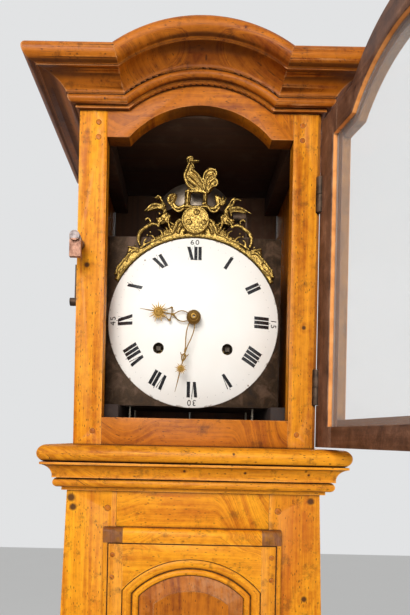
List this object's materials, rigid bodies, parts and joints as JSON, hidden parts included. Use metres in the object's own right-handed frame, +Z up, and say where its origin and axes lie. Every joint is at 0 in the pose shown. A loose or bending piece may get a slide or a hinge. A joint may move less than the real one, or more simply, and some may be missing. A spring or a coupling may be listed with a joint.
{
  "type": "longcase clock",
  "caption": "Tall tapered wooden clock case with an arched, glazed hood, a domed enamel dial and a weight-driven iron-cage movement inside.",
  "frame": {"origin": "on the floor, at the middle of the bottom board's underside", "axes": "+Z up, the front with the dial faces -Y, +X to the right of a viewer in front"},
  "size_m": [0.4916, 0.5672, 2.282],
  "materials": {
    "fruitwood": "old wax, satin",
    "dark_wood": "unfinished, darkened",
    "painted_wood": "worn dark paint",
    "pane": "clear old glass",
    "iron": "dark forged iron with rust",
    "steel": "worn steel",
    "gilt_brass": "old polished brass",
    "bell_metal": "dull bell metal",
    "enamel": "glossy white enamel",
    "hemp": "plain twisted cord"
  },
  "bodies": {
    "case": {"case_left_stile": "fruitwood", "case_right_stile": "fruitwood", "case_top_rail": "fruitwood", "case_middle_rail": "fruitwood", "case_bottom_rail": "fruitwood", "lower_panel": "fruitwood", "case_left_side": "fruitwood", "case_right_side": "fruitwood", "back_board": "dark_wood", "bottom_board": "dark_wood", "plinth": "fruitwood", "waist_moulding": "fruitwood", "movement_bearers": "dark_wood", "case_pegs": "fruitwood", "case_hinges": "iron", "movement_cage": "iron", "front_plate": "iron", "dial": "enamel", "crest": "gilt_brass", "bell": "bell_metal", "going_rope": "hemp", "strike_rope": "hemp"},
    "trunk_door": {"door_left_stile": "fruitwood", "door_right_stile": "fruitwood", "door_top_rail": "fruitwood", "door_bottom_rail": "fruitwood", "door_panel": "fruitwood", "door_pegs": "fruitwood", "door_hinges": "iron"},
    "turn_button": {"door_turn_button": "gilt_brass"},
    "hood": {"hood_left_stile": "fruitwood", "hood_right_stile": "fruitwood", "hood_top_rail": "fruitwood", "hood_bottom_rail": "fruitwood", "hood_left_side": "fruitwood", "hood_right_side": "fruitwood", "hood_roof": "dark_wood", "cornice": "fruitwood", "hood_pegs": "fruitwood", "hood_ironwork": "iron"},
    "catch": {"hood_catch": "iron"},
    "hood_door": {"hood_door_hinge_stile": "painted_wood", "hood_door_free_stile": "painted_wood", "hood_door_top_rail": "painted_wood", "hood_door_bottom_rail": "painted_wood", "hood_door_glass": "pane", "hood_door_hinges": "iron"},
    "minute": {"minute_hand": "gilt_brass", "centre_arbor": "steel"},
    "hour": {"hour_hand": "gilt_brass"},
    "escapement": {"escape_wheel": "gilt_brass"},
    "going_barrel": {"going_drum": "gilt_brass"},
    "strike_barrel": {"strike_drum": "gilt_brass"},
    "going_load": {"going_weight": "iron"},
    "strike_load": {"strike_weight": "iron"},
    "going_sheave": {"going_pulley": "gilt_brass"},
    "strike_sheave": {"strike_pulley": "gilt_brass"},
    "pendulum": {"pendulum": "steel", "anchor": "steel"},
    "hammer": {"bell_hammer": "iron"}
  },
  "joints": [
    {"name": "hood_slide", "type": "slide", "parent": "case", "child": "hood", "axis": [0, -1, 0], "range_m": [0, 0.3]},
    {"name": "hood_door_hinge", "type": "hinge", "parent": "hood", "child": "hood_door", "pos_m": [0.164, -0.1303, 1.74], "axis": [0, 0, 1], "range_deg": [-103, 20]},
    {"name": "catch_turn", "type": "hinge", "parent": "hood", "child": "catch", "pos_m": [-0.1615, -0.13, 2.012], "axis": [0, -1, 0], "range_deg": [-90, 90]},
    {"name": "trunk_door_hinge", "type": "hinge", "parent": "case", "child": "trunk_door", "pos_m": [0.1248, -0.1348, 0.7], "axis": [0, 0, 1], "range_deg": [0, 110]},
    {"name": "button_turn", "type": "hinge", "parent": "case", "child": "turn_button", "pos_m": [-0.133, -0.13, 1.15], "axis": [0, -1, 0], "range_deg": [-90, 90]},
    {"name": "escape_turn", "type": "hinge", "parent": "case", "child": "escapement", "pos_m": [-0.004, 0, 1.98], "axis": [0, 1, 0], "continuous": true},
    {"name": "minute_turn", "type": "hinge", "parent": "case", "child": "minute", "pos_m": [-0.004, 0, 1.92], "axis": [0, 1, 0], "continuous": true},
    {"name": "hour_turn", "type": "hinge", "parent": "case", "child": "hour", "pos_m": [-0.004, 0, 1.92], "axis": [0, 1, 0], "continuous": true},
    {"name": "going_weight_rise", "type": "slide", "parent": "case", "child": "going_load", "axis": [0, 0, 1], "range_m": [0, 1.05], "deforming": ["going_rope"]},
    {"name": "strike_weight_rise", "type": "slide", "parent": "case", "child": "strike_load", "axis": [0, 0, 1], "range_m": [0, 1.05], "deforming": ["strike_rope"]},
    {"name": "going_drum_turn", "type": "hinge", "parent": "case", "child": "going_barrel", "pos_m": [0.045, 0, 1.879], "axis": [0, 1, 0], "range_deg": [-2740, 0]},
    {"name": "strike_drum_turn", "type": "hinge", "parent": "case", "child": "strike_barrel", "pos_m": [-0.053, 0, 1.879], "axis": [0, 1, 0], "range_deg": [0, 2740]},
    {"name": "going_pulley_turn", "type": "hinge", "parent": "going_load", "child": "going_sheave", "pos_m": [0.08905, -0.01, 0.414], "axis": [1, 0, 0], "range_deg": [-1510, 0]},
    {"name": "strike_pulley_turn", "type": "hinge", "parent": "strike_load", "child": "strike_sheave", "pos_m": [-0.09705, -0.01, 0.414], "axis": [1, 0, 0], "range_deg": [-1510, 0]},
    {"name": "pendulum_swing", "type": "hinge", "parent": "case", "child": "pendulum", "pos_m": [-0.004, 0.095, 2.02], "axis": [0, 1, 0], "range_deg": [-3.5, 3.5]},
    {"name": "hammer_lift", "type": "hinge", "parent": "case", "child": "hammer", "pos_m": [0.08, 0, 2.064], "axis": [0, 1, 0], "range_deg": [0, 12], "stiffness_Nm_per_rad": 0.05, "springref_deg": -5.73}
  ],
  "couplings": [
    {"joint": "minute_turn", "follows": "escape_turn", "ratio": 0.016667},
    {"joint": "hour_turn", "follows": "escape_turn", "ratio": 0.0013889},
    {"joint": "going_drum_turn", "follows": "going_weight_rise", "rad_per_m": -45.403},
    {"joint": "strike_drum_turn", "follows": "strike_weight_rise", "rad_per_m": 45.403},
    {"joint": "going_pulley_turn", "follows": "going_weight_rise", "rad_per_m": -25},
    {"joint": "strike_pulley_turn", "follows": "strike_weight_rise", "rad_per_m": -25}
  ]
}
